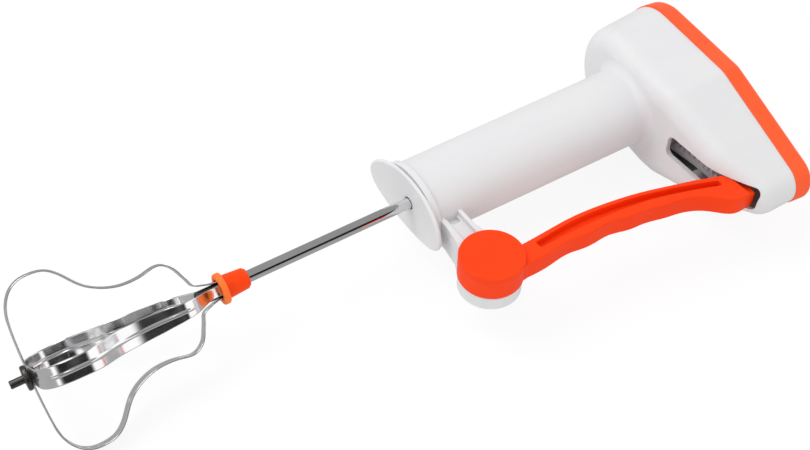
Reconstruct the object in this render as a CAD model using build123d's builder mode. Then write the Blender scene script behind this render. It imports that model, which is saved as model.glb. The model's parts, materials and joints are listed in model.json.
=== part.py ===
from build123d import *
import math
import os

# A one-hand rotary whisk: squeezing the lever swings a toothed sector, which drives
# a compound gear, a pinion and the long shaft that carries two crossed wire-strip loops.
#
# Frame (mm): X runs along the drive shaft from the whisk tip (0) to the gear head,
# Z is parallel to the lever's pivot axis, and the lever lies on the -Y side.

os.makedirs("parts", exist_ok=True)

# ---------------------------------------------------------------- shared dimensions
wall = 2.4

# drive shaft
shaft_r = 2.6
shaft_x0, shaft_x1 = 80.0, 332.0
running_clear = 0.05         # radial clearance on the shaft and the pivot pin
clip_groove = 0.5            # depth of the clip grooves in the shaft and the pin
flat_size = (8.0, 1.2)       # cutter, centred on the shaft surface, for the pinion's flat

# whisk end
shank_r = 2.1                # rivet shank through the strips
shank_clear = 0.03
washer_x0, washer_x1, washer_r = 5.6, 7.6, 5.2

# dished guard, hollow towards the whisk
guard_x = 181.9              # its face on the whisk side, at the shaft
guard_t = 1.9
guard_a, guard_b = 28.0, 15.3
guard_R = 128.0
dish_x = guard_x - guard_R   # centre of the dish sphere
bush_r = 4.5

# elliptical grip tube: a is the half-axis along Y, b along Z
foot_x0 = 184.0              # end of the tube next to the guard
foot_x1 = 185.7              # the rim behind the guard ends here
foot_grow = 1.4
tube_a0, tube_b0 = 20.0, 15.2
tube_a1, tube_b1 = 21.0, 16.0
web_x0, web_t = 194.0, 2.5   # web across the tube
web_x1 = web_x0 + web_t
clip_x = web_x1 + 0.9        # shaft groove for the retaining clip
clip_groove_w = 0.9

# lever pivot
pivot_x, pivot_y = 190.0, -50.6
drum_r = 14.2
drum_z0, drum_z1, cap_z1 = -2.4, 7.2, 9.6
base_r, base_z0, base_z1 = 13.8, -9.6, -3.0
pin_r = 2.5
pin_head_t = 1.4
spring_room_r = 11.0         # chamber for the spring inside the drum

# arm of the lug between the tube and the pivot
arm_x0, arm_x1, arm_z1 = 185.2, 196.6, 5.0
channel_d = 2.0

# gear head
head_x = 303.8               # bottom face, seen from the whisk
floor_x = head_x + 2.6
tube_x1 = head_x + 9.0       # the tube reaches this far into the head
head_fillet = 9.0
cavity_fillet = 4.0
tube_fillet = 5.0
wedge_y0, wedge_rise = -60.0, 9.5
back_y0, back_y1, back_slope = -18.0, 60.0, 0.145
slot_y0, slot_y1, slot_z0, slot_z1 = -83.4, -33.5, -4.2, 7.6

# plan of the head, pointed towards -Y
plan_yc, plan_w, plan_kink, plan_tip, plan_tip_r = 20.0, 25.3, -27.0, -88.0, 10.5

# lid
lid_tilt = math.radians(6.5)
lid_y0 = -20.0               # origin of the lid plane
lid_top_x = 349.0            # top of the lid at lid_y0
lid_t = 9.5
lid_over = 0.8               # overhang beyond the head
lip_depth = 3.0

# gear train
module = 1.0
tooth_thinning = 0.11
pinion_teeth, wheel_teeth = 12, 36
axle_y, axle_z = -23.94, 1.70
axle_r = 1.75
axle_x0 = head_x + 1.0
small_gear_x0 = 311.0
wheel_x0, wheel_x1 = 321.5, 326.0
plate_x0, plate_t = 328.0, 2.5
plate_x1 = plate_x0 + plate_t
plate_bore_r = 3.6
posts = [(14.0, 15.0), (14.0, -15.0), (-47.0, 13.2), (-47.0, -13.2)]     # (Y, Z)
post_r = 3.0
screw_r = 1.25

# toothed sector; radii and angles (degrees) are about the pivot
rack_r0, rack_r1 = 123.5, 130.5
rack_mesh_r = 124.2          # pivot to mesh, along the shaft
rack_z0, rack_root, rack_pitch, rack_tip = -8.2, -5.45, -4.3, -3.6
rack_a0, rack_a1 = -10.0, 14.5
tongue_a0, tongue_a1, tongue_r = -13.6, -7.2, 126.5
tongue_z1 = 4.8


# ---------------------------------------------------------------- helpers
def YZ(x):
    """Plane across the shaft at x: local x is +Y, local y is +Z."""
    return Plane(origin=(x, 0, 0), x_dir=(0, 1, 0), z_dir=(1, 0, 0))


def pivot_plane(z):
    """Plane at height z with its origin on the pivot axis."""
    return Plane(origin=(pivot_x, pivot_y, z), x_dir=(1, 0, 0), z_dir=(0, 0, 1))


def polar(r, degrees):
    """Point (X, Y) at a radius and an angle about the pivot."""
    angle = math.radians(degrees)
    return (pivot_x + r * math.cos(angle), pivot_y + r * math.sin(angle))


def ring(plane, outer_r, inner_r, thickness):
    with BuildPart() as part:
        with BuildSketch(plane):
            Circle(outer_r)
            Circle(inner_r, mode=Mode.SUBTRACT)
        extrude(amount=thickness)
    return part.part


def open_clip(plane, outer_r, inner_r, gap_centre, gap_size, thickness):
    """Retaining ring with a rectangular opening on one side."""
    with BuildPart() as part:
        with BuildSketch(plane):
            Circle(outer_r)
            Circle(inner_r, mode=Mode.SUBTRACT)
            with Locations(gap_centre):
                Rectangle(*gap_size, mode=Mode.SUBTRACT)
        extrude(amount=thickness)
    return part.part


lid_plane = Plane(
    origin=(lid_top_x - lid_t / math.cos(lid_tilt), lid_y0, 0),
    x_dir=(math.sin(lid_tilt), math.cos(lid_tilt), 0),
    z_dir=(math.cos(lid_tilt), -math.sin(lid_tilt), 0),
)
rivet_places = (polar(124.6, -8.4), polar(124.6, -9.6))


def head_outline(shift, grow, kink_r):
    """Plan of the gear head (local x is +Y, local y is +Z), shifted along Y and grown."""
    arc_y = plan_yc + shift
    half_w = plan_w + grow
    kink_y = plan_kink + shift
    tip_r = plan_tip_r + grow
    tip_y = plan_tip + plan_tip_r + shift
    reach = kink_y - tip_y
    # angle at which the straight flank touches the round tip
    touch = math.atan2(half_w, reach) + math.acos(tip_r / math.hypot(reach, half_w))
    touch_y, touch_z = tip_y + tip_r * math.cos(touch), tip_r * math.sin(touch)
    touch_deg = math.degrees(touch)
    with BuildSketch() as outline:
        with BuildLine():
            CenterArc((arc_y, 0), half_w, -90, 180)
            Line((arc_y, half_w), (kink_y, half_w))
            Line((kink_y, half_w), (touch_y, touch_z))
            CenterArc((tip_y, 0), tip_r, touch_deg, 360 - 2 * touch_deg)
            Line((touch_y, -touch_z), (kink_y, -half_w))
            Line((kink_y, -half_w), (arc_y, -half_w))
        make_face()
        fillet(
            outline.vertices().filter_by(lambda v: abs(v.X - kink_y) < 0.01),
            radius=kink_r,
        )
    return outline.sketch


# made here, outside any builder, so that they take no builder's workplane
body_plan = head_outline(0.0, 0.0, 14.0)
cavity_plan = head_outline(0.0, -wall, 12.0)
lid_plan = head_outline(-lid_y0, lid_over, 14.5)
lip_outer_plan = head_outline(-lid_y0, -wall - 0.3, 12.0)
lip_inner_plan = head_outline(-lid_y0, -wall - 2.0, 11.0)


# ---------------------------------------------------------------- whisk
strip_w, strip_t = 9.2, 0.6
rib_w, rib_h = 2.4, 0.35      # rib along the middle of the strip's outer side

# centre line of one half of a loop, from the collar to the tip: (X, radius)
half_a = [
    (92.0, 3.56), (89.5, 3.56), (87.2, 3.58), (85.4, 3.88), (82.4, 4.75), (80.2, 5.5),
    (78.9, 6.5), (77.9, 8.7), (76.6, 11.6), (74.6, 15.6), (72.0, 18.2), (69.0, 19.4),
    (66.0, 19.3), (62.3, 18.5), (57.5, 18.0), (52.7, 18.2), (48.0, 19.3), (43.6, 21.2),
    (40.8, 23.0), (38.4, 25.2), (36.2, 27.8), (34.2, 30.4), (32.0, 32.8), (29.7, 34.6),
    (27.0, 35.8), (23.8, 36.3), (20.7, 36.3), (18.2, 35.9), (15.8, 34.9), (13.6, 33.3),
    (11.7, 31.0), (10.2, 28.2), (9.1, 24.6), (8.4, 19.6), (8.05, 13.0), (7.9, 6.6),
]
# the second loop runs down to its tabs on an easier slope
half_b = [
    (92.0, 3.56), (89.5, 3.56), (87.4, 3.61), (85.4, 4.08), (83.2, 5.3), (81.2, 7.4),
    (79.2, 10.1), (77.0, 13.1), (74.7, 16.1),
] + half_a[10:]
rib_first, rib_last = 9, 32   # stations of half_a between which the rib runs

# half-width of the strip along the shaft: (X, half-width)
strip_half = [
    (4.0, 4.0), (14.0, 4.0), (24.0, 4.1), (33.0, 4.4), (42.0, 4.65), (51.0, 4.65),
    (58.0, 4.4), (64.0, 3.9), (70.0, 3.35), (76.0, 2.9), (80.5, 2.45), (84.0, 2.2),
    (89.0, 2.2), (95.0, 2.2),
]


def loop_centre_line(half, tip_x):
    """Whole centre line, end to end, with its lowest stations eased to cross at tip_x."""
    shift = tip_x - half[-1][0]
    points = []
    for x, r in half:
        nearness = max(0.0, (30.0 - x) / 22.0)
        points.append((x + shift * min(1.0, nearness * 1.05), r))
    return points + [(tip_x, 0.0)] + [(x, -r) for x, r in reversed(points)]


def shifted_inward(points, distance):
    """The curve's points moved towards the inside of the loop (outward if negative)."""
    last = len(points) - 1
    moved = []
    for i, (x, r) in enumerate(points):
        before_x, before_r = points[max(0, i - 1)]
        after_x, after_r = points[min(last, i + 1)]
        dx, dr = after_x - before_x, after_r - before_r
        length = math.hypot(dx, dr)
        moved.append((x - dr / length * distance, r + dx / length * distance))
    return moved


def whisk_loop(half, radial, tip_x):
    """Strip loop lying along the shaft and the radial direction (Y, Z)."""
    centre = loop_centre_line(half, tip_x)
    crest = shifted_inward(centre, -(strip_t / 2 + rib_h))
    y, z = radial
    loop_plane = Plane(origin=(0, 0, 0), x_dir=(1, 0, 0), z_dir=(0, -z, y))
    width_plane = Plane(origin=(0, 0, 0), x_dir=(1, 0, 0), z_dir=(0, y, z))
    first = rib_first + len(half) - len(half_a)
    last = rib_last + len(half) - len(half_a)
    end = len(centre) - 1
    with BuildPart() as part:
        with BuildSketch(loop_plane):
            with BuildLine():
                inner = Spline(*shifted_inward(centre, strip_t / 2))
                outer = Spline(*shifted_inward(centre, -strip_t / 2))
                Line(inner @ 0, outer @ 0)
                Line(inner @ 1, outer @ 1)
            make_face()
        extrude(amount=strip_w / 2, both=True)
        # widest at the waist, narrowing to tabs that fit inside the collar
        with BuildSketch(width_plane):
            with BuildLine():
                upper = Spline(*strip_half)
                lower = Spline(*[(x, -h) for x, h in strip_half])
                Line(upper @ 0, lower @ 0)
                Line(upper @ 1, lower @ 1)
            make_face()
        extrude(amount=60, both=True, mode=Mode.INTERSECT)
        # the rib on each half stops short of the shoulder and of the crossing
        for i0, i1 in ((first, last), (end - last, end - first)):
            with BuildSketch(loop_plane):
                with BuildLine():
                    rib_foot = Spline(*centre[i0:i1 + 1])
                    rib_crest = Spline(*crest[i0:i1 + 1])
                    Line(rib_foot @ 0, rib_crest @ 0)
                    Line(rib_foot @ 1, rib_crest @ 1)
                make_face()
            extrude(amount=rib_w / 2, both=True)
        with BuildSketch(YZ(0)):
            Circle(shank_r + shank_clear)
        extrude(amount=12, mode=Mode.SUBTRACT)
    return part.part


def whisk_end_washer():
    with BuildPart() as part:
        with BuildSketch(YZ(washer_x0)):
            Circle(washer_r)
            Circle(shank_r + shank_clear, mode=Mode.SUBTRACT)
        extrude(amount=washer_x1 - washer_x0)
        fillet(
            part.edges().filter_by(GeomType.CIRCLE).filter_by(lambda e: e.radius > 5),
            radius=0.7,
        )
    return part.part


def whisk_rivet():
    spindle_r, spindle_x1 = 1.7, 5.4      # tip that stands out of the washer
    shank_x1 = 9.1
    head_x0, rivet_head_r, rivet_head_t = 9.05, 3.2, 1.5
    with BuildPart() as part:
        with BuildSketch(YZ(0)):
            Circle(spindle_r)
        extrude(amount=spindle_x1)
        chamfer(part.faces().sort_by(Axis.X)[0].edges(), length=0.25)
        with BuildSketch(YZ(spindle_x1)):
            Circle(shank_r)
        extrude(amount=shank_x1 - spindle_x1)
        with BuildSketch(YZ(head_x0)):
            Circle(rivet_head_r)
        extrude(amount=rivet_head_t)
        fillet(part.faces().sort_by(Axis.X)[-1].edges(), radius=0.8)
    return part.part


def whisk_ferrule():
    ferrule_x0, ferrule_x1, ferrule_r = 78.5, 93.0, 3.2
    with BuildPart() as part:
        with BuildSketch(YZ(ferrule_x0)):
            Circle(ferrule_r)
        extrude(amount=ferrule_x1 - ferrule_x0)
        with BuildSketch(YZ(shaft_x0)):
            Circle(shaft_r)
        extrude(amount=40, mode=Mode.SUBTRACT)
        chamfer(part.faces().sort_by(Axis.X)[0].edges(), length=0.5)
    return part.part


def locking_collar():
    """Flanged sleeve, turned about the shaft, with a wide mouth over the strip tabs."""
    flange_x0, flange_x1, flange_r = 88.4, 91.2, 6.9
    collar_x1, collar_r0, collar_r1 = 101.6, 5.25, 4.6
    mouth_r = 4.55
    mouth_x1 = flange_x0 + 5.8
    bore_r = shaft_r + running_clear
    with BuildPart() as part:
        with BuildSketch(Plane.XY):
            with BuildLine():
                Polyline(
                    (flange_x0, mouth_r), (flange_x0, flange_r),
                    (flange_x1, flange_r), (flange_x1, collar_r0),
                    (collar_x1 - 1.2, collar_r1), (collar_x1, collar_r1 - 0.9),
                    (collar_x1, bore_r), (mouth_x1, bore_r),
                    (mouth_x1, mouth_r), (flange_x0, mouth_r),
                )
            make_face()
        revolve(axis=Axis.X, revolution_arc=360)
        fillet(
            part.edges().filter_by(GeomType.CIRCLE).filter_by(
                lambda e: abs(e.radius - flange_r) < 0.01),
            radius=0.8,
        )
    return part.part


# ---------------------------------------------------------------- drive shaft
def drive_shaft():
    with BuildPart() as part:
        with BuildSketch(YZ(shaft_x0)):
            Circle(shaft_r)
        extrude(amount=shaft_x1 - shaft_x0)
        chamfer(part.faces().sort_by(Axis.X)[-1].edges(), length=0.4)
        # groove for the retaining clip
        with BuildSketch(YZ(clip_x)):
            Circle(shaft_r + 1)
            Circle(shaft_r - clip_groove, mode=Mode.SUBTRACT)
        extrude(amount=clip_groove_w, mode=Mode.SUBTRACT)
        # flat for the pinion
        with BuildSketch(YZ(wheel_x0 - 0.4)):
            with Locations((0, shaft_r)):
                Rectangle(*flat_size)
        extrude(amount=wheel_x1 - wheel_x0 + 0.8, mode=Mode.SUBTRACT)
    return part.part


# ---------------------------------------------------------------- gears
# direction (degrees) from the compound gear's axle to the shaft
mesh_dir = math.degrees(math.atan2(-axle_z, -axle_y))


def gear_outline(teeth, addendum, dedendum, phase):
    """Points of an involute spur gear; a tooth is centred on the angle phase (degrees)."""
    pressure = math.radians(20)
    pitch_r = module * teeth / 2
    involute_r = pitch_r * math.cos(pressure)
    tip_r = pitch_r + addendum
    root_r = pitch_r - dedendum
    half_tooth = (math.pi * module / 2 - tooth_thinning) / 2 / pitch_r
    pitch_involute = math.tan(pressure) - pressure

    def flank_angle(r):
        angle = math.acos(min(1.0, involute_r / r))
        return half_tooth + pitch_involute - (math.tan(angle) - angle)

    start_r = max(involute_r, root_r)
    radii = [start_r + (tip_r - start_r) * k / 4 for k in range(5)]
    flank = [(r, flank_angle(r)) for r in radii]
    if root_r < involute_r:
        flank.insert(0, (root_r, flank_angle(involute_r)))
    points = []
    for i in range(teeth):
        centre = math.radians(phase) + 2 * math.pi * i / teeth
        for r, a in flank:
            points.append((r * math.cos(centre - a), r * math.sin(centre - a)))
        for r, a in reversed(flank):
            points.append((r * math.cos(centre + a), r * math.sin(centre + a)))
    return points


def compound_gear():
    """Small gear and wheel in one, built about X and then moved to the axle."""
    with BuildPart() as part:
        with BuildSketch(YZ(small_gear_x0)):
            with BuildLine():
                Polyline(*gear_outline(pinion_teeth, 1.0, 1.1, -90.0), close=True)
            make_face()
        extrude(amount=wheel_x0 - small_gear_x0)
        with BuildSketch(YZ(wheel_x0)):
            with BuildLine():
                Polyline(*gear_outline(wheel_teeth, 0.75, 1.25, mesh_dir), close=True)
            make_face()
        extrude(amount=wheel_x1 - wheel_x0)
        # round openings through the wheel
        with BuildSketch(YZ(wheel_x0)):
            with PolarLocations(11.2, 5):
                Circle(3.6)
        extrude(amount=wheel_x1 - wheel_x0, mode=Mode.SUBTRACT)
        # hub towards the gear plate
        with BuildSketch(YZ(wheel_x1)):
            Circle(4.0)
        extrude(amount=1.6)
        with BuildSketch(YZ(small_gear_x0 - 1)):
            Circle(axle_r + running_clear)
        extrude(amount=30, mode=Mode.SUBTRACT)
    return part.part.moved(Location((0, axle_y, axle_z)))


def shaft_pinion():
    overhang = 0.3               # beyond each face of the wheel
    pinion_w = wheel_x1 - wheel_x0 + 2 * overhang
    # turned half a tooth so that a gap faces the wheel's tooth
    phase = mesh_dir + 180.0 + 180.0 / pinion_teeth
    with BuildPart() as part:
        with BuildSketch(YZ(wheel_x0 - overhang)):
            with BuildLine():
                Polyline(*gear_outline(pinion_teeth, 1.0, 1.1, phase), close=True)
            make_face()
        extrude(amount=pinion_w)
        with BuildSketch(YZ(wheel_x0 - overhang)):
            Circle(shaft_r)
            with Locations((0, shaft_r)):
                Rectangle(*flat_size, mode=Mode.SUBTRACT)
        extrude(amount=pinion_w, mode=Mode.SUBTRACT)
    return part.part


def gear_axle():
    with BuildPart() as part:
        with BuildSketch(YZ(axle_x0)):
            with Locations((axle_y, axle_z)):
                Circle(axle_r)
        extrude(amount=plate_x1 + 1.0 - axle_x0)
    return part.part


def gear_plate():
    outline = [(18.5, 19), (-36, 19), (-51.5, 12), (-51.5, -12), (-36, -19), (18.5, -19)]
    with BuildPart() as part:
        with BuildSketch(YZ(plate_x0)):
            with BuildLine():
                Polyline(*outline, close=True)
            make_face()
            with Locations((0, 0)):
                Circle(plate_bore_r, mode=Mode.SUBTRACT)
            with Locations((axle_y, axle_z)):
                Circle(axle_r, mode=Mode.SUBTRACT)
            with Locations(*posts):
                Circle(screw_r + 0.25, mode=Mode.SUBTRACT)
        extrude(amount=plate_t)
    return part.part


def upper_shaft_bush():
    flange_r, flange_t = 5.2, 1.4
    with BuildPart() as part:
        with BuildSketch(YZ(plate_x0 - flange_t)):
            Circle(flange_r)
        extrude(amount=flange_t)
        with BuildSketch(YZ(plate_x0)):
            Circle(plate_bore_r)
        extrude(amount=plate_t + 0.8)
        with BuildSketch(YZ(plate_x0 - 2)):
            Circle(shaft_r + running_clear)
        extrude(amount=8, mode=Mode.SUBTRACT)
    return part.part


def gear_plate_screws():
    """Pan-head screws pointing towards -X, heads seated on the gear plate."""
    length = 9.0
    screw_head_r, screw_head_h = 2.6, 1.6
    cross_l, cross_w, cross_depth = 3.0, 0.6, 0.8
    with BuildPart() as part:
        for place in posts:
            with BuildSketch(YZ(plate_x1)):
                with Locations(place):
                    Circle(screw_head_r)
            extrude(amount=screw_head_h)
            with BuildSketch(YZ(plate_x1 - length)):
                with Locations(place):
                    Circle(screw_r)
            extrude(amount=length)
        fillet(
            part.edges().filter_by(GeomType.CIRCLE).filter_by(
                lambda e: abs(e.radius - screw_head_r) < 0.01
                and e.center().X > plate_x1 + screw_head_h / 2),
            radius=0.6,
        )
        for place in posts:
            with BuildSketch(YZ(plate_x1 + screw_head_h - cross_depth)):
                with Locations(place):
                    Rectangle(cross_l, cross_w)
                    Rectangle(cross_w, cross_l)
            extrude(amount=1.0, mode=Mode.SUBTRACT)
    return part.part


# ---------------------------------------------------------------- housing
def bottom_cuts(x0):
    """Profiles (X, Y) that lift a bottom face at x0 towards its tip and its far end."""
    low_x = x0 - 30
    tip_x, past_tip = x0 + wedge_rise, plan_tip - 20
    back_x = x0 + back_slope * (back_y1 - back_y0)
    return (
        [(low_x, wedge_y0), (x0, wedge_y0), (tip_x, plan_tip), (tip_x, past_tip),
         (low_x, past_tip)],
        [(low_x, back_y0), (x0, back_y0), (back_x, back_y1), (low_x, back_y1)],
    )


def bottom_rim(edges, x0, tip_margin):
    """Edges around a bottom face at x0, without the creases that cross it along Z."""
    def on_rim(e):
        centre = e.center()
        crease = (abs(e.tangent_at(0.5).Z) > 0.99 and abs(centre.Z) < 1
                  and centre.Y > plan_tip + tip_margin)
        return centre.X < x0 + wedge_rise + 1.5 and not crease
    return edges.filter_by(on_rim)


def head_cavity():
    with BuildPart() as part:
        with BuildSketch(YZ(floor_x)):
            add(cavity_plan)
        extrude(amount=60)
        for profile in bottom_cuts(floor_x):
            with BuildSketch(Plane.XY):
                with BuildLine():
                    Polyline(*profile, close=True)
                make_face()
            extrude(amount=60, both=True, mode=Mode.SUBTRACT)
        for crease_y, crease_r in ((wedge_y0, 22.0), (back_y0, 60.0)):
            fillet(
                part.edges().filter_by(Axis.Z).filter_by(
                    lambda e: abs(e.center().Y - crease_y) < 0.5
                    and e.center().X < floor_x + 3),
                radius=crease_r,
            )
        fillet(bottom_rim(part.edges(), floor_x, 6), radius=cavity_fillet)
    return part.part


def lug():
    """Arm that carries the lever, with a channel between two ribs, and its round base."""
    outline = [
        (arm_x0, -8), (arm_x1, -8), (arm_x1, -30), (arm_x1 + 2.4, -39),
        (pivot_x + 8, pivot_y), (pivot_x - 9, pivot_y), (pivot_x - 9.5, -41),
        (arm_x0 - 1.4, -34), (arm_x0 - 0.2, -25),
    ]
    channel_x0, channel_x1 = arm_x0 + 2.1, arm_x1 - 2.0
    channel = [(channel_x0, -5), (channel_x1, -5), (channel_x1, -50), (channel_x0, -50)]
    with BuildPart() as part:
        with BuildSketch(Plane.XY.offset(base_z0)):
            with BuildLine():
                Polyline(*outline, close=True)
            make_face()
        extrude(amount=arm_z1 - base_z0)
        with BuildSketch(Plane.XY.offset(arm_z1 - channel_d)):
            with BuildLine():
                Polyline(*channel, close=True)
            make_face()
        extrude(amount=20, mode=Mode.SUBTRACT)
        # rounded pocket in the channel floor
        with BuildSketch(Plane.XY.offset(arm_z1 - channel_d - 1.8)):
            with Locations((arm_x0 + 6.1, -19.5)):
                RectangleRounded(4.6, 8.0, 1.2)
        extrude(amount=20, mode=Mode.SUBTRACT)
        # room for the lever's drum
        with BuildSketch(pivot_plane(base_z1)):
            Circle(drum_r + 1.0)
        extrude(amount=30, mode=Mode.SUBTRACT)
        with BuildSketch(pivot_plane(base_z0)):
            Circle(base_r)
        extrude(amount=base_z1 - base_z0)
    return part.part


def on_tube_joint(e):
    """True for edges where the grip tube runs into the head."""
    centre = e.center()
    ratio = (centre.Y / tube_a1) ** 2 + (centre.Z / tube_b1) ** 2
    return head_x - 1 < centre.X < head_x + 9 and 0.5 < ratio < 1.08


def main_housing():
    """Gear head, grip tube and lug in one moulding."""
    cavity = head_cavity()
    lever_lug = lug()
    boss_x0 = floor_x - 0.3
    with BuildPart() as part:
        with BuildSketch(YZ(head_x)):
            add(body_plan)
        extrude(amount=60)
        split(bisect_by=lid_plane, keep=Keep.BOTTOM)
        for profile in bottom_cuts(head_x):
            with BuildSketch(Plane.XY):
                with BuildLine():
                    Polyline(*profile, close=True)
                make_face()
            extrude(amount=60, both=True, mode=Mode.SUBTRACT)
        for crease_y, crease_r in ((wedge_y0, 25.0), (back_y0, 60.0)):
            fillet(
                part.edges().filter_by(Axis.Z).filter_by(
                    lambda e: abs(e.center().Y - crease_y) < 0.5),
                radius=crease_r,
            )
        fillet(bottom_rim(part.edges(), head_x, 3), radius=head_fillet)
        # lug and grip tube
        add(lever_lug)
        with BuildSketch(YZ(foot_x0)):
            Ellipse(tube_a0, tube_b0)
        with BuildSketch(YZ(tube_x1)):
            Ellipse(tube_a1, tube_b1)
        loft()
        fillet(
            part.edges().filter_by(GeomType.LINE, reverse=True).filter_by(on_tube_joint),
            radius=tube_fillet,
        )
        # rim behind the guard, cut to the guard's dish
        with BuildSketch(YZ(foot_x1)):
            Ellipse(tube_a0 + foot_grow, tube_b0 + foot_grow)
        extrude(amount=-8.0)
        with Locations((dish_x, 0, 0)):
            Sphere(guard_R + guard_t + 0.06, mode=Mode.SUBTRACT)
        # hollow on both sides of the web, and inside the head
        with BuildSketch(YZ(foot_x0 - 12)):
            Ellipse(tube_a0 - wall, tube_b0 - wall)
        extrude(amount=web_x0 - foot_x0 + 12, mode=Mode.SUBTRACT)
        with BuildSketch(YZ(web_x1)):
            Ellipse(tube_a0 - wall, tube_b0 - wall)
        with BuildSketch(YZ(floor_x + 7.0)):
            Ellipse(tube_a1 - wall, tube_b1 - wall)
        loft(mode=Mode.SUBTRACT)
        add(cavity, mode=Mode.SUBTRACT)
        with BuildSketch(YZ(web_x0 - 1)):
            Circle(shaft_r + 0.6)
        extrude(amount=web_t + 2, mode=Mode.SUBTRACT)
        # slot for the lever end
        with BuildSketch(YZ(head_x - 5)):
            with Locations(((slot_y0 + slot_y1) / 2, (slot_z0 + slot_z1) / 2)):
                RectangleRounded(slot_y1 - slot_y0, slot_z1 - slot_z0, 3.5)
        extrude(amount=26, mode=Mode.SUBTRACT)
        # posts for the gear plate, rooted in the floor, which slopes beyond back_y0
        for y, z in posts:
            if y > back_y0:
                post_x0 = floor_x + back_slope * (y - post_r - back_y0) - 0.4
            else:
                post_x0 = floor_x - 0.3
            with BuildSketch(YZ(post_x0)):
                with Locations((y, z)):
                    Circle(post_r)
            extrude(amount=plate_x0 - post_x0)
        with BuildSketch(YZ(plate_x0 - 10)):
            with Locations(*posts):
                Circle(screw_r)
        extrude(amount=12, mode=Mode.SUBTRACT)
        # axle boss
        with BuildSketch(YZ(boss_x0)):
            with Locations((axle_y, axle_z)):
                Circle(3.6)
        extrude(amount=small_gear_x0 - 0.15 - boss_x0)
        with BuildSketch(YZ(axle_x0)):
            with Locations((axle_y, axle_z)):
                Circle(axle_r)
        extrude(amount=20, mode=Mode.SUBTRACT)
        # bore for the pivot pin, with a seat for its head
        with BuildSketch(pivot_plane(base_z0 - 1)):
            Circle(pin_r)
        extrude(amount=20, mode=Mode.SUBTRACT)
        with BuildSketch(pivot_plane(base_z0)):
            Circle(4.6)
        extrude(amount=1.6, mode=Mode.SUBTRACT)
    return part.part


def guard_flange():
    """Dished guard with a plug that fills the tube up to the web."""
    plug_x0 = guard_x + guard_t - 0.6
    plug_clear = 0.05
    with BuildPart() as part:
        with BuildSketch(YZ(guard_x - 12)):
            Ellipse(guard_a, guard_b)
        extrude(amount=24)
        with Locations((dish_x, 0, 0)):
            Sphere(guard_R + guard_t, mode=Mode.INTERSECT)
            Sphere(guard_R, mode=Mode.SUBTRACT)
        fillet(part.edges(), radius=0.85)
        with BuildSketch(YZ(plug_x0)):
            Ellipse(tube_a0 - wall - plug_clear, tube_b0 - wall - plug_clear)
        extrude(amount=web_x0 - 0.1 - plug_x0)
        with Locations((dish_x, 0, 0)):
            Sphere(guard_R, mode=Mode.SUBTRACT)
        with BuildSketch(YZ(guard_x - 6)):
            Circle(shaft_r + 0.5)
        extrude(amount=30, mode=Mode.SUBTRACT)
        with BuildSketch(YZ(guard_x + guard_t)):
            Circle(bush_r + 0.02)
        extrude(amount=20, mode=Mode.SUBTRACT)
    return part.part


def head_lid():
    with BuildPart() as part:
        with BuildSketch(lid_plane):
            add(lid_plan)
        extrude(amount=lid_t)
        # of the two largest faces, the outer one gets the larger rounding
        for index, radius in ((-1, 2.6), (0, 0.8)):
            face = part.faces().sort_by(SortBy.AREA)[-2:].sort_by(Axis.X)[index]
            fillet(face.edges(), radius=radius)
        # locating lip that drops inside the head wall
        with BuildSketch(lid_plane):
            add(lip_outer_plan)
        extrude(amount=-lip_depth)
        with BuildSketch(lid_plane.offset(-lip_depth)):
            add(lip_inner_plan)
        extrude(amount=lip_depth + lid_t - 2.6, mode=Mode.SUBTRACT)
    return part.part


# ---------------------------------------------------------------- lever
# edges of the lever and of the recess in its +Z face, from the drum to the head: (X, Y);
# "upper" is the edge nearer the shaft
upper_edge = [
    (207.2, -50.8), (218.4, -50.2), (232.2, -49.6), (250.6, -51.0), (268.6, -54.2),
    (284.9, -58.7), (298.1, -62.8),
]
lower_edge = [
    (201.7, -61.4), (208.0, -61.5), (213.5, -61.1), (219.6, -60.3), (225.6, -60.2),
    (232.0, -61.2), (238.6, -61.3), (245.0, -61.0), (250.6, -62.0), (256.3, -63.4),
    (262.4, -63.9), (268.4, -65.0), (274.5, -66.5), (280.2, -67.5), (285.6, -69.1),
    (290.6, -71.7), (295.0, -75.4), (299.0, -79.1), (304.0, -81.1),
]
recess_upper = [
    (210.6, -53.2), (218.4, -52.6), (232.2, -51.9), (250.6, -53.3), (268.6, -56.5),
    (284.9, -61.0), (302.6, -67.4),
]
recess_lower = [
    (211.0, -56.9), (227.8, -56.9), (245.1, -57.6), (263.9, -59.4), (280.9, -63.4),
    (302.3, -70.6),
]
recess_d = 3.2


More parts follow.
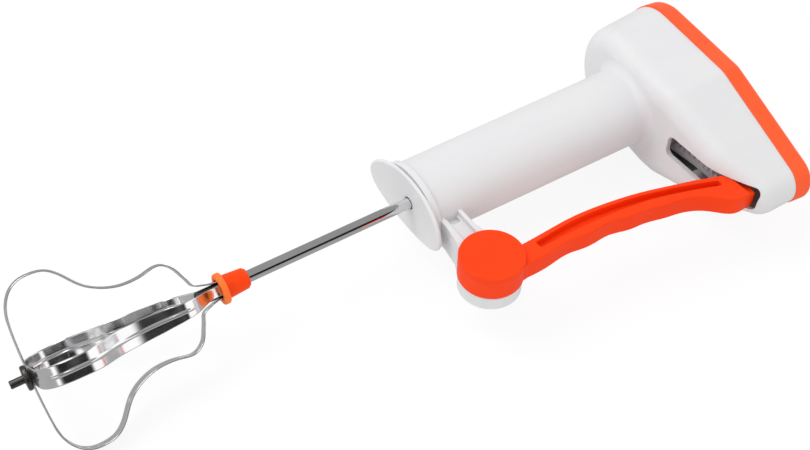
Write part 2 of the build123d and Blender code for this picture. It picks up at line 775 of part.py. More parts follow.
def lever():
    with BuildPart() as part:
        with BuildSketch(Plane.XY.offset(drum_z0)):
            with BuildLine():
                upper = Spline(*upper_edge, tangents=[(1, 0.05), (1, -0.42)])
                lower = Spline(*lower_edge)
                Polyline(upper @ 1, polar(118.0, -7.45), (309.0, -66.2), (309.0, -80.68),
                         lower @ 1)
                Polyline(lower @ 0, (194.0, -62.5), (191.0, -50.6), upper @ 0)
            make_face()
        extrude(amount=drum_z1 - drum_z0)
        fillet(part.edges().filter_by(lambda e: abs(e.tangent_at(0.5).Z) < 0.01), radius=0.8)
        # thinner tongue inside the head
        with BuildSketch(Plane.XY.offset(drum_z0)):
            with BuildLine():
                arc_start = polar(tongue_r, tongue_a1)
                arc_end = polar(tongue_r, tongue_a0)
                Polyline((303.0, -78.0), (303.0, -66.5), polar(118.0, -7.6),
                         polar(122.0, tongue_a1), arc_start)
                ThreePointArc(arc_start, polar(tongue_r, (tongue_a0 + tongue_a1) / 2), arc_end)
                Polyline(arc_end, (305.0, -80.9), (303.0, -78.0))
            make_face()
        extrude(amount=tongue_z1 - drum_z0)
        with BuildSketch(pivot_plane(drum_z0)):
            Circle(drum_r)
        extrude(amount=drum_z1 - drum_z0)
        # long recess in the +Z face
        with BuildSketch(Plane.XY.offset(drum_z1 - recess_d)) as recess:
            with BuildLine():
                upper = Spline(*recess_upper)
                lower = Spline(*recess_lower)
                Line(upper @ 0, lower @ 0)
                Line(upper @ 1, lower @ 1)
            make_face()
            fillet(recess.vertices(), radius=1.1)
        extrude(amount=10, mode=Mode.SUBTRACT)
        # spring chamber around a central post
        with BuildSketch(pivot_plane(drum_z0 + 2.0)):
            Circle(spring_room_r)
            Circle(4.6, mode=Mode.SUBTRACT)
        extrude(amount=20, mode=Mode.SUBTRACT)
        # the post is lowered for the clip, then bored for the pin
        with BuildSketch(pivot_plane(drum_z1 - 1.7)):
            Circle(4.8)
        extrude(amount=20, mode=Mode.SUBTRACT)
        with BuildSketch(pivot_plane(drum_z0 - 1)):
            Circle(pin_r + running_clear)
        extrude(amount=20, mode=Mode.SUBTRACT)
        with BuildSketch(Plane.XY.offset(-20)):
            with Locations(*rivet_places):
                Circle(0.9)
        extrude(amount=40, mode=Mode.SUBTRACT)
    return part.part


def hub_cap():
    skirt_h = 1.6
    with BuildPart() as part:
        with BuildSketch(pivot_plane(drum_z1)):
            Circle(drum_r)
        extrude(amount=cap_z1 - drum_z1)
        fillet(part.faces().sort_by(Axis.Z)[-1].edges(), radius=0.8)
        with BuildSketch(pivot_plane(drum_z1 - skirt_h)):
            Circle(spring_room_r - 0.05)
            Circle(9.4, mode=Mode.SUBTRACT)
        extrude(amount=skirt_h)
    return part.part


def pivot_pin():
    pin_head_z0 = base_z0 + 0.2
    shank_z0 = pin_head_z0 + pin_head_t
    with BuildPart() as part:
        with BuildSketch(pivot_plane(pin_head_z0)):
            Circle(4.5)
        extrude(amount=pin_head_t)
        with BuildSketch(pivot_plane(shank_z0)):
            Circle(pin_r)
        extrude(amount=drum_z1 - 0.2 - shank_z0)
        # groove for the clip
        with BuildSketch(pivot_plane(drum_z1 - 1.6)):
            Circle(pin_r + 1)
            Circle(pin_r - clip_groove, mode=Mode.SUBTRACT)
        extrude(amount=0.8, mode=Mode.SUBTRACT)
    return part.part


def return_spring():
    """Torsion spring in the lever's drum."""
    spring_r, wire_r, turns, pitch = 7.6, 0.55, 3.5, 1.35
    start = (pivot_x, pivot_y, drum_z0 + 2.75)
    with BuildPart() as part:
        with BuildLine() as coil:
            Helix(pitch=pitch, height=pitch * turns, radius=spring_r, center=start)
        with BuildSketch(Plane(origin=coil.line @ 0, z_dir=coil.line % 0)):
            Circle(wire_r)
        sweep(path=coil.line, is_frenet=True)
    return part.part


# ---------------------------------------------------------------- toothed sector
def sector_rack():
    tooth_step = math.degrees(math.pi * module / rack_mesh_r)
    half_tooth = (math.pi * module / 2 - tooth_thinning) / 2
    flank_slope = math.tan(math.radians(20))
    root_z, tip_z = rack_root - rack_pitch, rack_tip - rack_pitch
    root_half = half_tooth - root_z * flank_slope
    tip_half = half_tooth - tip_z * flank_slope
    tooth_x, tooth_y = rack_r0 - 1.9, axle_y - pivot_y    # tooth start, from the pivot
    # the curved plate, then the pad that meets the lever end:
    # (z0, z1, end angle, angle of the arcs' middle point)
    layers = (
        (rack_z0, rack_root, rack_a1, (rack_a0 + rack_a1) / 2),
        (rack_root, drum_z0, tongue_a1, -8.6),
    )
    with BuildPart() as part:
        for z0, z1, end, middle in layers:
            with BuildSketch(Plane.XY.offset(z0)):
                with BuildLine():
                    Line(polar(rack_r0, rack_a0), polar(rack_r1, rack_a0))
                    ThreePointArc(polar(rack_r1, rack_a0), polar(rack_r1, middle),
                                  polar(rack_r1, end))
                    Line(polar(rack_r1, end), polar(rack_r0, end))
                    ThreePointArc(polar(rack_r0, end), polar(rack_r0, middle),
                                  polar(rack_r0, rack_a0))
                make_face()
            extrude(amount=z1 - z0)
        for i in range(-2, 13):
            turn = math.radians(-(i + 0.5) * tooth_step)
            cos, sin = math.cos(turn), math.sin(turn)
            # plane across the tooth, its normal along the tooth
            across = Plane(
                origin=(pivot_x - tooth_y * sin + tooth_x * cos,
                        pivot_y + tooth_y * cos + tooth_x * sin, rack_pitch),
                x_dir=(-sin, cos, 0),
                z_dir=(cos, sin, 0),
            )
            with BuildSketch(across):
                with BuildLine():
                    Polyline((-root_half, root_z), (root_half, root_z),
                             (tip_half, tip_z), (-tip_half, tip_z), close=True)
                make_face()
            extrude(amount=5.4)
        with BuildSketch(Plane.XY.offset(-20)):
            with Locations(*rivet_places):
                Circle(0.9)
        extrude(amount=40, mode=Mode.SUBTRACT)
    return part.part


def rack_rivets():
    stand_out = 0.7
    with BuildPart() as part:
        with BuildSketch(Plane.XY.offset(rack_z0 - stand_out)):
            with Locations(*rivet_places):
                Circle(0.85)
        extrude(amount=tongue_z1 - rack_z0 + 2 * stand_out)
    return part.part


# ---------------------------------------------------------------- build and export
diagonal = math.sqrt(0.5)
bush_x0 = guard_x + guard_t

pieces = {
    "whisk_loop_a": whisk_loop(half_a, (-diagonal, -diagonal), 7.98),
    "whisk_loop_b": whisk_loop(half_b, (-diagonal, diagonal), 8.68),
    "whisk_end_washer": whisk_end_washer(),
    "whisk_rivet": whisk_rivet(),
    "whisk_ferrule": whisk_ferrule(),
    "locking_collar": locking_collar(),
    "drive_shaft": drive_shaft(),
    "shaft_clip": open_clip(
        YZ(clip_x + 0.05), 4.4, shaft_r - clip_groove, (0, 3.0), (3.4, 6.0), 0.8),
    "thrust_washer": ring(YZ(web_x1 + 0.05), 5.4, shaft_r + running_clear, 0.8),
    "compound_gear": compound_gear(),
    "shaft_pinion": shaft_pinion(),
    "gear_axle": gear_axle(),
    "gear_plate": gear_plate(),
    "upper_shaft_bush": upper_shaft_bush(),
    "gear_plate_screws": gear_plate_screws(),
    "main_housing": main_housing(),
    "guard_flange": guard_flange(),
    "lower_shaft_bush": ring(
        YZ(bush_x0), bush_r, shaft_r + running_clear, web_x0 - bush_x0 - 0.05),
    "head_lid": head_lid(),
    "lever": lever(),
    "hub_cap": hub_cap(),
    "pivot_pin": pivot_pin(),
    "pivot_clip": open_clip(
        pivot_plane(drum_z1 - 1.58), 4.3, pin_r - clip_groove, (3.0, 0), (6.0, 3.2), 0.76),
    "pivot_washer": ring(
        pivot_plane(base_z1), 7.0, pin_r + running_clear, drum_z0 - base_z1 - 0.02),
    "return_spring": return_spring(),
    "sector_rack": sector_rack(),
    "rack_rivets": rack_rivets(),
}

for name, piece in pieces.items():
    piece.label = name
    export_step(piece, f"parts/{name}.step")
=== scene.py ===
# A hand mixer with a whisk. The whisk's shaft lies along X with the whisk tip at low x
# and the housing at high x; the floor is just under the lowest CAD point (+Z up).
# Scene units are metres; names ending in _mm and the whisk section are in mm.
import bpy
import bmesh
import json
import math
from functools import cached_property, reduce
import numpy as np
from mathutils import Matrix, Vector


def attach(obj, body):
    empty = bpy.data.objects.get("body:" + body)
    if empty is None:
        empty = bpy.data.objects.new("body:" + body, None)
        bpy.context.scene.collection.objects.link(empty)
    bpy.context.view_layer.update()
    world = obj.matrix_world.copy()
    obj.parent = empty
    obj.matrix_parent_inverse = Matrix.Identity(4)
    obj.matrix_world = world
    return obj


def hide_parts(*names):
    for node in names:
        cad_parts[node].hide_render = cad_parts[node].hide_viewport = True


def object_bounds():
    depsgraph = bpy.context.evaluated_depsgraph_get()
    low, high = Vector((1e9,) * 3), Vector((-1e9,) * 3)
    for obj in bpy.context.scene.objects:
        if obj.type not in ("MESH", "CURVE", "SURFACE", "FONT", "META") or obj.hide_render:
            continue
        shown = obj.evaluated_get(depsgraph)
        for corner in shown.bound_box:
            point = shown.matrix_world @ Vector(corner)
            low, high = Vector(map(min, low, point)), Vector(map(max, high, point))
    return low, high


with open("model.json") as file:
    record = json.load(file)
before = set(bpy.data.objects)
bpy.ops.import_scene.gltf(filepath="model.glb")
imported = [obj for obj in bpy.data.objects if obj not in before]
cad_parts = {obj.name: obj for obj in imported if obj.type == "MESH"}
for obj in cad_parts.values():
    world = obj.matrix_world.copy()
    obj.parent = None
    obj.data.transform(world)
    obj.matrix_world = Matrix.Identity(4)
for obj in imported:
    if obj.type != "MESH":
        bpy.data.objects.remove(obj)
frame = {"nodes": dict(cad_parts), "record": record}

CAD_LO, CAD_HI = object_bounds()
NODES = frame["nodes"]
scene = bpy.context.scene

MM_PER_M = 1000.0
CENTRE_X = 0.17         # where the floor is centred and the key light aims


def smooth01(x):
    """Smooth step from 0 to 1."""
    x = np.clip(x, 0.0, 1.0)
    return x * x * (3 - 2 * x)


# ------------------------------------------------------------------ node helpers
class Nodes:
    """The node tree of a material or world, emptied and given its output node."""

    def __init__(self, owner, output_kind):
        owner.use_nodes = True
        self.tree = owner.node_tree
        self.tree.nodes.clear()
        self.output = self.add(output_kind)

    @cached_property
    def object_coords(self):
        return self.add("ShaderNodeTexCoord").outputs["Object"]

    def put(self, socket, value):
        """Link a socket or set a plain value."""
        if isinstance(value, bpy.types.NodeSocket):
            self.tree.links.new(value, socket)
        else:
            socket.default_value = value

    def add(self, kind, inputs=None, **settings):
        node = self.tree.nodes.new(kind)
        for key, value in settings.items():
            setattr(node, key, value)
        self.fill(node, inputs or {})
        return node

    def fill(self, node, inputs):
        for key, value in inputs.items():
            self.put(node.inputs[key], value)

    def surface(self, shader):
        self.put(self.output.inputs["Surface"], shader.outputs[0])

    def noise(self, scale, detail, rough, stretch=None):
        vector = self.object_coords
        if stretch:
            vector = self.add("ShaderNodeMapping", {"Vector": vector, "Scale": stretch}).outputs[0]
        return self.add("ShaderNodeTexNoise", {"Vector": vector, "Scale": scale, "Detail": detail,
                                               "Roughness": rough}).outputs[0]

    def ramp(self, value, span, to=(0.0, 1.0), curve="LINEAR"):
        """Map the span onto the range `to`, clamped."""
        return self.add("ShaderNodeMapRange", {
            "Value": value, "From Min": span[0], "From Max": span[1],
            "To Min": to[0], "To Max": to[1]}, interpolation_type=curve).outputs[0]

    def mix(self, factor, a, b):
        """Colour a where the factor is 0, b where it is 1."""
        return self.add("ShaderNodeMix", {0: factor, 6: a, 7: b}, data_type="RGBA").outputs[2]

    def math(self, operation, *values):
        return self.add("ShaderNodeMath", dict(enumerate(values)), operation=operation).outputs[0]

    def mix_shader(self, factor, a, b):
        return self.add("ShaderNodeMixShader", {0: factor, 1: a.outputs[0], 2: b.outputs[0]})

    def bevel(self, round_mm):
        return self.add("ShaderNodeBevel", {"Radius": round_mm / MM_PER_M}, samples=4).outputs[0]

    def bump(self, height, strength, distance, normal=None):
        inputs = {"Strength": strength, "Distance": distance, "Height": height}
        if normal is not None:
            inputs["Normal"] = normal
        return self.add("ShaderNodeBump", inputs).outputs[0]


def new_material(name):
    """A material with a Principled shader on its output."""
    material = bpy.data.materials.new(name)
    nodes = Nodes(material, "ShaderNodeOutputMaterial")
    shader = nodes.add("ShaderNodeBsdfPrincipled")
    nodes.surface(shader)
    return material, nodes, shader


def rgba(colour):
    return (*colour, 1.0)


def shade(colour, gain, lift=0.0):
    """The colour made lighter or darker, as RGBA."""
    return rgba(min(1.0, c * gain + lift) for c in colour)


# ------------------------------------------------------------------ materials
def plastic(name, colour, dark, rough, subsurface=0.0, scatter=(1.0, 0.6, 0.4), edge=0.25,
            crease_shade=0.25, specular=0.5, scuff=0.0, round_mm=0.35, glow_through=None):
    """Moulded plastic: flow mottling, orange peel, edges rubbed lighter, painted shade in the
    creases.

    The last argument, (x range in m, colour), paints glow from light shining through the thin
    flange: the colour shows below the range and fades out across it.
    """
    material, nodes, shader = new_material(name)

    # mottling along the flow, and fine specks
    flow = nodes.noise(scale=28.0, detail=4.0, rough=0.55, stretch=(0.35, 1.0, 1.0))
    speck = nodes.noise(scale=950.0, detail=2.0, rough=0.5)
    base = nodes.mix(nodes.ramp(flow, span=(0.35, 0.7)), rgba(colour), rgba(dark))
    base = nodes.mix(nodes.ramp(speck, span=(0.62, 0.8), to=(0.0, 0.10)), base, rgba(dark))
    if glow_through:
        # painted glow: a thin flange lets more light through, so it is painted paler here
        span, glow_colour = glow_through
        split = nodes.add("ShaderNodeSeparateXYZ", {"Vector": nodes.object_coords})
        base = nodes.mix(nodes.ramp(split.outputs[0], span, to=(1.0, 0.0)), base, rgba(glow_colour))

    # edges rubbed lighter in patches
    pointiness = nodes.add("ShaderNodeNewGeometry").outputs["Pointiness"]
    edges = nodes.ramp(pointiness, span=(0.53, 0.62), to=(0.0, edge))
    patches = nodes.noise(scale=160.0, detail=4.0, rough=0.6)
    rub = nodes.math("MULTIPLY", edges, nodes.ramp(patches, span=(0.35, 0.65), to=(0.2, 1.0)))
    base = nodes.mix(rub, base, shade(colour, gain=1.12, lift=0.02))

    # painted shade: the colour darkens in the creases, driven by ambient occlusion
    occlusion = nodes.add("ShaderNodeAmbientOcclusion", {"Distance": 0.003}, samples=6)
    crease_shade_mask = nodes.ramp(occlusion.outputs["AO"], span=(0.10, 0.65), to=(crease_shade, 0.0))
    base = nodes.mix(crease_shade_mask, base, shade(colour, gain=0.5))

    sheen = nodes.noise(scale=120.0, detail=5.0, rough=0.6)
    roughness = nodes.ramp(sheen, span=(0.3, 0.7), to=rough)
    if scuff:
        lines = nodes.noise(scale=260.0, detail=3.0, rough=0.6, stretch=(0.12, 1.0, 1.6))
        scuffs = nodes.ramp(lines, span=(0.6, 0.75), to=(0.0, scuff))
        roughness = nodes.math("ADD", roughness, scuffs)

    # rounded edges, then broad waviness, then fine orange peel
    normal = nodes.bevel(round_mm)
    waves = nodes.noise(scale=55.0, detail=2.0, rough=0.4)
    normal = nodes.bump(waves, strength=0.06, distance=0.0012, normal=normal)
    peel = nodes.noise(scale=1100.0, detail=2.0, rough=0.4)
    normal = nodes.bump(peel, strength=0.10, distance=0.00010, normal=normal)

    nodes.fill(shader, {"Base Color": base, "Roughness": roughness, "Normal": normal,
                        "IOR": 1.49, "Specular IOR Level": specular})
    if subsurface:
        nodes.fill(shader, {"Subsurface Weight": subsurface, "Subsurface Scale": 0.003,
                            "Subsurface Radius": scatter})
    return material


def metal(name, colour, rough, scale, stretch=(1, 1, 1), scratch=0.06, round_mm=0.0):
    """Plated or polished metal: directional polishing marks and patches of uneven sheen."""
    material, nodes, shader = new_material(name)
    lines = nodes.noise(scale=scale, detail=5.0, rough=0.65, stretch=stretch)
    patches = nodes.noise(scale=90.0, detail=3.0, rough=0.5)
    tint = nodes.ramp(patches, span=(0.3, 0.75), to=(0.0, 0.5))
    base = nodes.mix(tint, rgba(colour), shade(colour, gain=0.82))
    roughness = nodes.math("ADD", nodes.ramp(lines, span=(0.3, 0.7), to=rough),
                           nodes.ramp(patches, span=(0.45, 0.8), to=(0.0, 0.06)))
    rounded = nodes.bevel(round_mm) if round_mm else None
    normal = nodes.bump(lines, strength=scratch, distance=0.00004, normal=rounded)
    nodes.fill(shader, {"Base Color": base, "Metallic": 1.0, "Roughness": roughness,
                        "Normal": normal})
    return material


# material slot: (kind of material, its look); rough is the least and most roughness
LOOKS = {
    "white_plastic": (plastic, dict(
        colour=(0.70, 0.70, 0.705), dark=(0.665, 0.66, 0.675), rough=(0.36, 0.48),
        subsurface=0.10, scatter=(1.0, 0.9, 0.9), edge=0.15, crease_shade=0.08, specular=0.33,
        round_mm=0.45)),
    "orange_plastic": (plastic, dict(
        colour=(0.94, 0.055, 0.003), dark=(0.89, 0.042, 0.002), rough=(0.38, 0.54),
        subsurface=0.05, edge=0.22, crease_shade=0.35, scuff=0.08, specular=0.13)),
    "orange_lid": (plastic, dict(
        colour=(0.95, 0.110, 0.024), dark=(0.93, 0.090, 0.018), rough=(0.38, 0.52),
        subsurface=0.06, edge=0.3, specular=0.25, round_mm=0.6)),
    "orange_sleeve": (plastic, dict(
        colour=(0.97, 0.066, 0.001), dark=(0.94, 0.050, 0.001), rough=(0.34, 0.46),
        subsurface=0.35, edge=0.4, crease_shade=0.3, specular=0.14,
        glow_through=((0.0905, 0.0915), (1.0, 0.19, 0.035)))),
    "shaft_chrome": (metal, dict(
        colour=(0.80, 0.80, 0.81), rough=(0.07, 0.13), stretch=(0.03, 1, 1), scale=900.0)),
    "strip_steel": (metal, dict(
        colour=(0.90, 0.90, 0.91), rough=(0.12, 0.18), stretch=(0.2, 1, 1), scale=500.0,
        scratch=0.04)),
    "dark_steel": (metal, dict(
        colour=(0.14, 0.135, 0.13), rough=(0.22, 0.38), scale=700.0, round_mm=0.15)),
    "fastener_steel": (metal, dict(
        colour=(0.52, 0.52, 0.53), rough=(0.25, 0.4), scale=800.0, round_mm=0.12)),
    "plate_alu": (metal, dict(
        colour=(0.7, 0.71, 0.72), rough=(0.32, 0.48), stretch=(1, 0.05, 1), scale=700.0,
        round_mm=0.12)),
    "acetal": (plastic, dict(
        colour=(0.68, 0.66, 0.6), dark=(0.62, 0.6, 0.54), rough=(0.4, 0.5), round_mm=0.15)),
    "gear_nylon": (plastic, dict(
        colour=(0.70, 0.70, 0.72), dark=(0.64, 0.64, 0.66), rough=(0.42, 0.55),
        round_mm=0.12)),
}
MATERIALS = {slot: make(slot, **look) for slot, (make, look) in LOOKS.items()}

SLOT_OF = {part["node"]: part["material_slot"] for part in frame["record"]["subparts"]}
for name, obj in NODES.items():
    obj.data.materials.clear()
    obj.data.materials.append(MATERIALS[SLOT_OF[name]])


# ------------------------------------------------------------------ whisk strips, mm
# half outlines from the shaft to the tip: (x, distance from the shaft's axis)
SHARED_HALF = [
    (72.0, 18.2), (69.0, 19.4), (66.0, 19.3), (62.3, 18.5), (57.5, 18.0), (52.7, 18.2),
    (48.0, 19.3), (43.6, 21.2), (40.8, 23.0), (38.4, 25.2), (36.2, 27.8), (34.2, 30.4),
    (32.0, 32.8), (29.7, 34.6), (27.0, 35.8), (23.8, 36.3), (20.7, 36.3), (18.2, 35.9),
    (15.8, 34.9), (13.6, 33.3), (11.7, 31.0), (10.2, 28.2), (9.1, 24.6), (8.4, 19.6),
    (8.05, 13.0), (7.9, 6.6),
]
HALF_A = [
    (92.0, 3.58), (89.5, 3.58), (87.2, 3.6), (85.4, 3.88), (82.4, 4.75), (80.2, 5.5),
    (78.9, 6.5), (77.9, 8.7), (76.6, 11.6), (74.6, 15.6),
] + SHARED_HALF
HALF_B = [
    (92.0, 3.58), (89.5, 3.58), (87.4, 3.62), (85.4, 4.08), (83.2, 5.3), (81.2, 7.4),
    (79.2, 10.1), (77.0, 13.1), (74.7, 16.1),
] + SHARED_HALF
# (x, half the strip's width)
HALF_WIDTHS = [
    (4.0, 4.0), (14.0, 4.0), (24.0, 4.1), (33.0, 4.4), (42.0, 4.62), (51.0, 4.62),
    (58.0, 4.38), (64.0, 3.88), (70.0, 3.32), (76.0, 2.88), (80.5, 2.43), (84.0, 2.18),
    (89.0, 2.18), (95.0, 2.18),
]
# where the two strips cross the shaft's axis at the whisk's tip
TIP_A_X, TIP_B_X = 7.98, 8.68
# the outline shifts in x to reach its tip, from nothing at the start to all of it
SHIFT_START_X, SHIFT_RUN, SHIFT_GAIN = 30.0, 22.0, 1.05

STRIP_STATIONS = 640        # cross-sections along a strip
STRIP_COLUMNS = 43          # points across each face
HALF_THICK = 0.3
BEAD_HEIGHT = 0.33
BEAD_OFFSET = 0.25          # bead's middle, off the middle of the strip
BEAD_HALF_WIDTH = 0.9
DISH_DEPTH = 0.03           # how far the face drops at DISH_HALF_WIDTH
DISH_HALF_WIDTH = 4.6
TIP_ZONE_X = 20.0           # below this x the relief also fades towards the axis
NECK_FADE = 3.0             # length of the fade towards the shaft
# (distance from the axis where it starts, length of that fade, x where it ends at the neck)
BEAD_REACH = (17.5, 7.0, 73.5)
DISH_REACH = (9.0, 8.0, 76.5)


def spline_through(points, count):
    """Natural cubic spline by chord length, resampled evenly: positions and tangents."""
    knots = np.array(points, float)
    chords = np.hypot(*(knots[1:] - knots[:-1]).T)
    params = np.concatenate([[0], np.cumsum(chords)])
    total = len(knots)
    system = np.zeros((total, total))
    right_side = np.zeros((total, 2))
    system[0, 0] = system[-1, -1] = 1.0
    for i in range(1, total - 1):
        before, after = chords[i - 1], chords[i]
        system[i, i - 1:i + 2] = before, 2 * (before + after), after
        right_side[i] = 6 * ((knots[i + 1] - knots[i]) / after
                             - (knots[i] - knots[i - 1]) / before)
    bends = np.linalg.solve(system, right_side)     # second derivatives at the knots

    at = np.linspace(0, params[-1], 6000)
    i = np.clip(np.searchsorted(params, at, side="right") - 1, 0, total - 2)
    to_next = (params[i + 1] - at)[:, None]
    from_last = (at - params[i])[:, None]
    chord = chords[i][:, None]
    fine = ((bends[i] * to_next ** 3 + bends[i + 1] * from_last ** 3) / (6 * chord)
            + (knots[i] / chord - bends[i] * chord / 6) * to_next
            + (knots[i + 1] / chord - bends[i + 1] * chord / 6) * from_last)

    steps = np.hypot(*(fine[1:] - fine[:-1]).T)
    travel = np.concatenate([[0], np.cumsum(steps)])
    wanted = np.linspace(0, travel[-1], count)
    places = np.stack([np.interp(wanted, travel, fine[:, k]) for k in (0, 1)], axis=1)
    tangents = np.gradient(places, axis=0)
    tangents /= np.linalg.norm(tangents, axis=1)[:, None]
    return places, tangents


def full_outline(half, tip_x):
    """The half outline moved to the tip's x and mirrored across the shaft's axis."""
    shift = tip_x - half[-1][0]
    side = [(x + shift * min(1.0, max(0.0, (SHIFT_START_X - x) / SHIFT_RUN) * SHIFT_GAIN), r)
            for x, r in half]
    return side + [(tip_x, 0.0)] + [(x, -r) for x, r in reversed(side)]


def relief_strength(x, radius, reach):
    """How much of the bead or dish shows: it fades at the neck and near the tip."""
    axis_start, axis_run, neck_end = reach
    strength = smooth01((neck_end - x) / NECK_FADE)
    if x < TIP_ZONE_X:
        strength *= smooth01((abs(radius) - axis_start) / axis_run)
    return strength


def strip_section(x, radius, tangent, radial, across):
    """One closed ring: outer face, rounded edge, inner face, rounded edge."""
    outward = np.array([tangent[1], 0, 0]) - radial * tangent[0]
    middle = np.array([x, 0, 0]) + radial * radius
    edge = float(np.interp(x, *zip(*HALF_WIDTHS))) - HALF_THICK
    offsets = np.linspace(-edge, edge, STRIP_COLUMNS)
    from_bead = np.clip((offsets - BEAD_OFFSET) / BEAD_HALF_WIDTH, -1, 1)
    bead = BEAD_HEIGHT * np.cos(from_bead * math.pi / 2) ** 2
    dish = DISH_DEPTH * (offsets / DISH_HALF_WIDTH) ** 2
    rises = (relief_strength(x, radius, BEAD_REACH) * bead
             - relief_strength(x, radius, DISH_REACH) * dish)

    def point(offset, rise):
        return middle + across * offset + outward * rise

    def rounded_edge(k, start):
        angles = [start - step * math.pi / 4 for step in (1, 2, 3)]
        return [point(offsets[k] + HALF_THICK * math.cos(angle),
                      rises[k] + HALF_THICK * math.sin(angle)) for angle in angles]

    face = list(zip(offsets, rises))
    return ([point(offset, rise + HALF_THICK) for offset, rise in face]
            + rounded_edge(-1, math.pi / 2)
            + [point(offset, rise - HALF_THICK) for offset, rise in reversed(face)]
            + rounded_edge(0, -math.pi / 2))


def whisk_strip(name, half, radial_yz, tip_x):
    """A steel strip looping from the shaft round the tip and back, with a pressed bead."""
    places, tangents = spline_through(full_outline(half, tip_x), STRIP_STATIONS)
    y, z = radial_yz
    radial = np.array([0.0, y, z])
    across = np.array([0.0, -z, y])
    rings = [strip_section(x, radius, tangent, radial, across)
             for (x, radius), tangent in zip(places, tangents)]

    size = len(rings[0])
    verts = [tuple(map(float, point / MM_PER_M)) for ring in rings for point in ring]
    faces = []
    for i in range(len(rings) - 1):
        for j in range(size):
            k = (j + 1) % size
            faces.append((i * size + j, i * size + k, (i + 1) * size + k, (i + 1) * size + j))
    faces.append(tuple(range(size - 1, -1, -1)))
    faces.append(tuple((len(rings) - 1) * size + j for j in range(size)))

    mesh = bpy.data.meshes.new(name + "_fine")
    mesh.from_pydata(verts, [], faces)
    mesh.validate()
    mesh.update()
    for polygon in mesh.polygons:
        polygon.use_smooth = True
    strip = bpy.data.objects.new(name + "_fine", mesh)
    scene.collection.objects.link(strip)
    mesh.materials.append(MATERIALS["strip_steel"])
    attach(strip, "drive")
    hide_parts(name)


DIAGONAL = math.sqrt(0.5)
whisk_strip("whisk_loop_a", HALF_A, (-DIAGONAL, -DIAGONAL), TIP_A_X)
whisk_strip("whisk_loop_b", HALF_B, (-DIAGONAL, DIAGONAL), TIP_B_X)


# ------------------------------------------------------------------ housing
DRAFT_MAX = 0.0046          # how far the wall leans at most
DRAFT_X_MIN = 0.296         # nothing moves at or below this x
DRAFT_X_NONE = 0.343        # the lean is nothing here and grows towards low x
DRAFT_X_RUN = 0.0392
DRAFT_Y_START = 0.0205      # the lean fades in above this y
DRAFT_Y_RUN = 0.012


def drafted_housing():
    """A copy of the housing whose +Y wall leans in towards -Y."""
    source = NODES["main_housing"]
    housing = source.copy()
    housing.data = source.data.copy()
    housing.name = "main_housing_drafted"
    scene.collection.objects.link(housing)
    for vertex in housing.data.vertices:
        x, y, z = vertex.co
        if x > DRAFT_X_MIN and y > DRAFT_Y_START:
            along = min(1.0, max(0.0, (DRAFT_X_NONE - x) / DRAFT_X_RUN))
            lean = along * float(smooth01((y - DRAFT_Y_START) / DRAFT_Y_RUN))
            vertex.co.y = y - DRAFT_MAX * lean
    housing.data.update()
    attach(housing, "housing")
    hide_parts("main_housing")


drafted_housing()


# ------------------------------------------------------------------ camera
def add_camera():
    data = bpy.data.cameras.new("camera")
    data.sensor_width = 36.0
    data.lens = 50.51
    data.clip_start = 0.01
    camera = bpy.data.objects.new("camera", data)
    scene.collection.objects.link(camera)
    right = Vector((0.83801, -0.54536, 0.01802))
    up = Vector((0.39079, 0.62289, 0.67771))
    back = Vector((-0.38082, -0.56088, 0.73511))
    turn = Matrix((right, up, back)).transposed().to_4x4()
    place = Vector((-0.01483, -0.28731, 0.36310))
    camera.matrix_world = Matrix.Translation(place) @ turn
    scene.camera = camera


add_camera()

# ------------------------------------------------------------------ floor
FLOOR_HALF_SIZE = 6.0
FLOOR_GAP = 0.0003          # below the lowest CAD point
GLOW_TO_CAMERA = 0.86       # share of plain white glow that camera rays see
GLOW_TO_DIFFUSE = 0.32      # and that diffuse rays see
WHITE = (1.0, 1.0, 1.0, 1.0)


def floor_material():
    """Matt paint, nearly burnt out to the camera and glowing a little on diffuse rays."""
    material, nodes, paint = new_material("floor")
    nodes.fill(paint, {"Base Color": (0.90, 0.90, 0.90, 1), "Roughness": 0.9})
    rays = nodes.add("ShaderNodeLightPath").outputs
    glow = nodes.add("ShaderNodeEmission", {"Color": WHITE, "Strength": 1.0})
    seen = nodes.math("MULTIPLY", rays["Is Camera Ray"], GLOW_TO_CAMERA)
    share = nodes.math("MULTIPLY_ADD", rays["Is Diffuse Ray"], GLOW_TO_DIFFUSE, seen)
    nodes.surface(nodes.mix_shader(share, paint, glow))
    return material


def add_floor():
    grid = bmesh.new()
    bmesh.ops.create_grid(grid, x_segments=4, y_segments=4, size=FLOOR_HALF_SIZE)
    mesh = bpy.data.meshes.new("floor")
    grid.to_mesh(mesh)
    grid.free()
    floor = bpy.data.objects.new("floor", mesh)
    floor.location = (CENTRE_X, 0, CAD_LO[2] - FLOOR_GAP)
    scene.collection.objects.link(floor)
    mesh.materials.append(floor_material())
    floor.visible_glossy = False


add_floor()

# ------------------------------------------------------------------ studio world
X, Y, Z = 0, 1, 2
STUDIO_LEVEL = 0.34
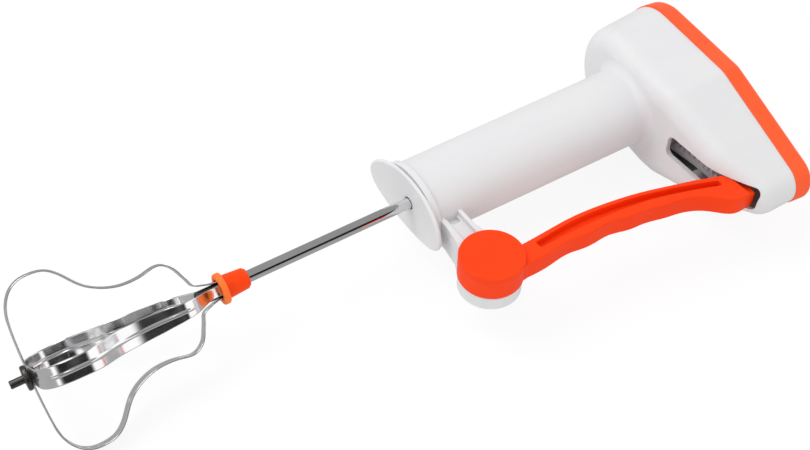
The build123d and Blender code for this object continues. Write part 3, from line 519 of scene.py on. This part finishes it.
# patches mirrored by glossy surfaces, each laid over the ones before:
# (brightness, [(axis of the view direction, from, to, edge softness), ...])
PATCHES = [
    (0.42, [(Z, -2.0, -0.10, 0.06)]),                               # below the horizon
    (1.15, [(X, 0.66, 2.0, 0.07), (Z, -0.10, 0.55, 0.06)]),         # bright card at +X
    (1.25, [(X, -2.0, -0.93, 0.04), (Z, -0.06, 0.7, 0.04)]),        # bright card at -X
    (0.008, [(X, -0.88, 0.58, 0.05), (Z, 0.12, 0.67, 0.03),
             (Y, -2.0, 0.0, 0.05)]),                                # dark card at -Y
]


def build_world():
    """Plain white, except that glossy rays see the patches."""
    world = bpy.data.worlds.new("studio")
    scene.world = world
    nodes = Nodes(world, "ShaderNodeOutputWorld")
    coords = nodes.add("ShaderNodeTexCoord").outputs["Generated"]
    axes = nodes.add("ShaderNodeSeparateXYZ", {"Vector": coords}).outputs

    def window(axis, low, high, soft):
        """1 between low and high, 0 outside, with soft edges."""
        rise = nodes.ramp(axes[axis], span=(low - soft, low + soft), curve="SMOOTHSTEP")
        fall = nodes.ramp(axes[axis], span=(high - soft, high + soft), to=(1.0, 0.0),
                          curve="SMOOTHSTEP")
        return nodes.math("MULTIPLY", rise, fall)

    def multiply(a, b):
        return nodes.math("MULTIPLY", a, b)

    level = STUDIO_LEVEL
    for brightness, windows in PATCHES:
        cover = reduce(multiply, [window(*limits) for limits in windows])
        keep = nodes.math("SUBTRACT", 1.0, cover)
        level = nodes.math("ADD", multiply(keep, level), multiply(cover, brightness))

    glossy = nodes.add("ShaderNodeLightPath").outputs["Is Glossy Ray"]
    plain = nodes.add("ShaderNodeBackground", {"Color": WHITE, "Strength": 1.0})
    cards = nodes.add("ShaderNodeBackground", {"Color": WHITE, "Strength": level})
    nodes.surface(nodes.mix_shader(glossy, plain, cards))


build_world()


# ------------------------------------------------------------------ key light
def add_disk_light(name, place, target, size, power):
    data = bpy.data.lights.new(name, "AREA")
    data.shape = "DISK"
    data.size = size
    data.energy = power
    light = bpy.data.objects.new(name, data)
    scene.collection.objects.link(light)
    light.location = place
    away = Vector(place) - Vector(target)
    light.rotation_euler = away.to_track_quat("Z", "Y").to_euler()


add_disk_light("key", place=(-0.3, 0.5, 1.1), target=(CENTRE_X, 0, 0), size=0.9, power=6.0)
scene.view_settings.view_transform = "Standard"
